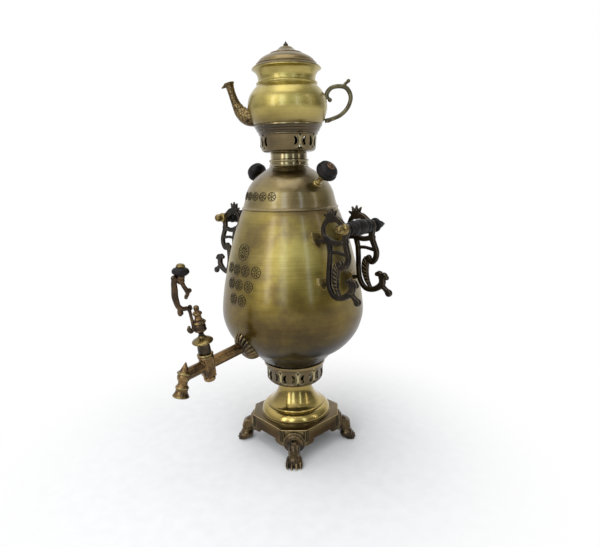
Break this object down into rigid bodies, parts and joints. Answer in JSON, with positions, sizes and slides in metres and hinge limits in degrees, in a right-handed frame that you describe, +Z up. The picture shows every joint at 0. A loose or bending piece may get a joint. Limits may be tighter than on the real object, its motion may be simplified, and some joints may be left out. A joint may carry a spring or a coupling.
{
  "type": "samovar",
  "caption": "Brass charcoal samovar with a swelling water body, paw feet, scrolled handles, a lift-off lid, a pierced crown with a teapot, and a plug tap with a scroll key.",
  "frame": {"origin": "middle of the bounding box in plan, on the plane the feet stand on", "axes": "+Z up; the tap points along -Y and the grips lie to +X and -X; the axis of the body stands at y = 0.049 m"},
  "size_m": [0.2968, 0.2979, 0.5621],
  "materials": {
    "aged_brass": "aged olive brass with fine brushing round it",
    "polished_brass": "polished golden brass",
    "dark_bronze": "dark cast bronze with worn highlights",
    "black_wood": "black lacquered turned wood",
    "cast_iron": "sooty iron"
  },
  "bodies": {
    "stand": {"base_box": "aged_brass", "draught_gallery": "aged_brass", "water_body": "aged_brass", "foot_screw_1": "aged_brass", "foot_screw_2": "aged_brass", "foot_screw_3": "aged_brass", "foot_screw_4": "aged_brass", "pedestal": "polished_brass", "tap_back_plate": "polished_brass", "grip_rod_right": "polished_brass", "grip_rod_left": "polished_brass", "grip_nut_right": "polished_brass", "grip_nut_left": "polished_brass", "paw_foot_1": "dark_bronze", "paw_foot_2": "dark_bronze", "paw_foot_3": "dark_bronze", "paw_foot_4": "dark_bronze", "tap_casting": "dark_bronze", "tap_shell": "dark_bronze", "tap_nozzle": "dark_bronze", "bracket_right_far": "dark_bronze", "bracket_right_near": "dark_bronze", "bracket_left_far": "dark_bronze", "bracket_left_near": "dark_bronze", "grip_right": "black_wood", "grip_left": "black_wood", "grip_finial_right": "black_wood", "grip_finial_left": "black_wood", "fire_tube": "cast_iron", "fire_grate": "cast_iron"},
    "lid": {"samovar_lid": "aged_brass", "lid_neck": "aged_brass", "knob_stem_right": "polished_brass", "knob_stem_left": "polished_brass", "lid_knob_right": "black_wood", "lid_knob_left": "black_wood", "knob_cap_right": "polished_brass", "knob_cap_left": "polished_brass"},
    "crown": {"teapot_crown": "aged_brass"},
    "teapot": {"teapot_body": "aged_brass", "teapot_spout": "polished_brass", "teapot_handle": "aged_brass"},
    "teapot_cover": {"teapot_lid": "aged_brass", "teapot_finial": "dark_bronze"},
    "key": {"tap_plug": "dark_bronze", "plug_nut": "dark_bronze", "key_lever": "dark_bronze", "key_top_nut": "polished_brass", "key_knob": "black_wood", "key_button": "polished_brass"}
  },
  "joints": [
    {"name": "lid_lift", "type": "slide", "parent": "stand", "child": "lid", "axis": [0, 0, 1], "range_m": [0, 0.09]},
    {"name": "crown_lift", "type": "slide", "parent": "lid", "child": "crown", "axis": [0, 0, 1], "range_m": [0, 0.04]},
    {"name": "teapot_lift", "type": "slide", "parent": "crown", "child": "teapot", "axis": [0, 0, 1], "range_m": [0, 0.05]},
    {"name": "teapot_cover_lift", "type": "slide", "parent": "teapot", "child": "teapot_cover", "axis": [0, 0, 1], "range_m": [0, 0.05]},
    {"name": "key_turn", "type": "hinge", "parent": "stand", "child": "key", "pos_m": [0, -0.0992, 0.162], "axis": [0, -0.1305, 0.9914], "continuous": true}
  ]
}
